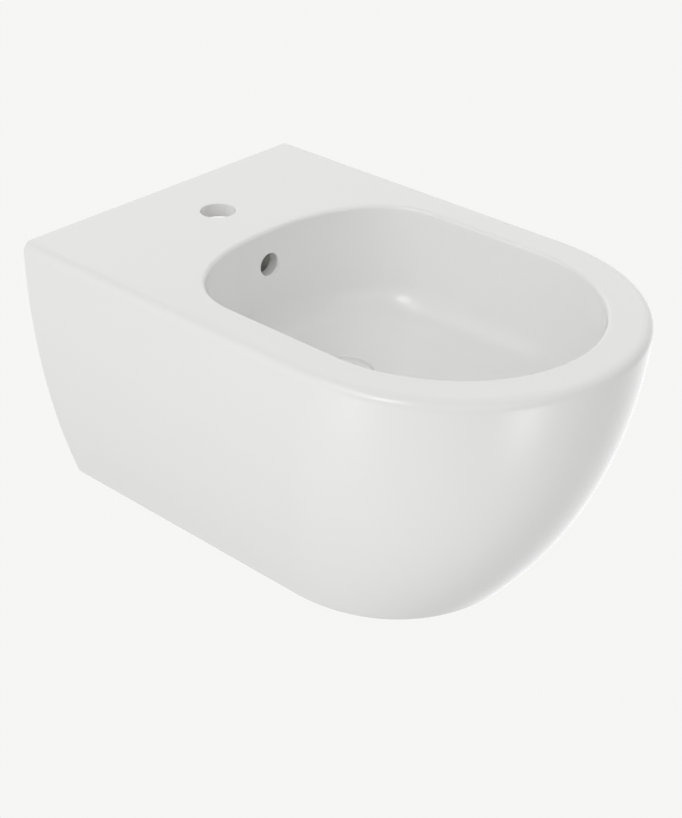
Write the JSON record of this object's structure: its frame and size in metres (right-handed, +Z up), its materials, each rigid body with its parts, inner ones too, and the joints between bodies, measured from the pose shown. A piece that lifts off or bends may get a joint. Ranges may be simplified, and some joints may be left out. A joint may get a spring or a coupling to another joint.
{
  "type": "wall-hung bidet",
  "caption": "Wall-hung bidet of white glazed ceramic: rounded front, oval bowl, ledge with a tap hole, overflow, open back and concealed fixings clamped from below.",
  "frame": {"origin": "on the wall plane, halfway between the two wall studs", "axes": "+Z up, +Y into the wall along the studs, the bidet's front points to -Y, +X to the right as one faces the wall"},
  "size_m": [0.36, 0.5599, 0.282],
  "materials": {
    "white_ceramic": "white gloss glaze, bare matt ceramic on the back and inside",
    "block_nylon": "black glass-filled nylon, moulded",
    "white_nylon": "natural white nylon",
    "zinc_steel": "bright zinc plated"
  },
  "bodies": {
    "bidet": {"ceramic_body": "white_ceramic", "anchor_block_left": "block_nylon", "anchor_block_right": "block_nylon", "stud_washer_left": "zinc_steel", "stud_washer_right": "zinc_steel", "stud_nut_left": "zinc_steel", "stud_nut_right": "zinc_steel", "clamp_sleeve_left": "white_nylon", "clamp_sleeve_right": "white_nylon"},
    "pad_left": {"pressure_pad_left": "white_nylon"},
    "screw_left": {"clamp_screw_left": "zinc_steel"},
    "pad_right": {"pressure_pad_right": "white_nylon"},
    "screw_right": {"clamp_screw_right": "zinc_steel"}
  },
  "joints": [
    {"name": "clamp_left_travel", "type": "slide", "parent": "bidet", "child": "pad_left", "axis": [0, 0, 1], "range_m": [-0.005, 0]},
    {"name": "clamp_left_turn", "type": "hinge", "parent": "pad_left", "child": "screw_left", "pos_m": [-0.09, -0.038, 0], "axis": [0, 0, 1], "range_deg": [-1440, 0]},
    {"name": "clamp_right_travel", "type": "slide", "parent": "bidet", "child": "pad_right", "axis": [0, 0, 1], "range_m": [-0.005, 0]},
    {"name": "clamp_right_turn", "type": "hinge", "parent": "pad_right", "child": "screw_right", "pos_m": [0.09, -0.038, 0], "axis": [0, 0, 1], "range_deg": [-1440, 0]}
  ],
  "couplings": [
    {"joint": "clamp_left_turn", "follows": "clamp_left_travel", "rad_per_m": 5026.5},
    {"joint": "clamp_right_turn", "follows": "clamp_right_travel", "rad_per_m": 5026.5}
  ]
}
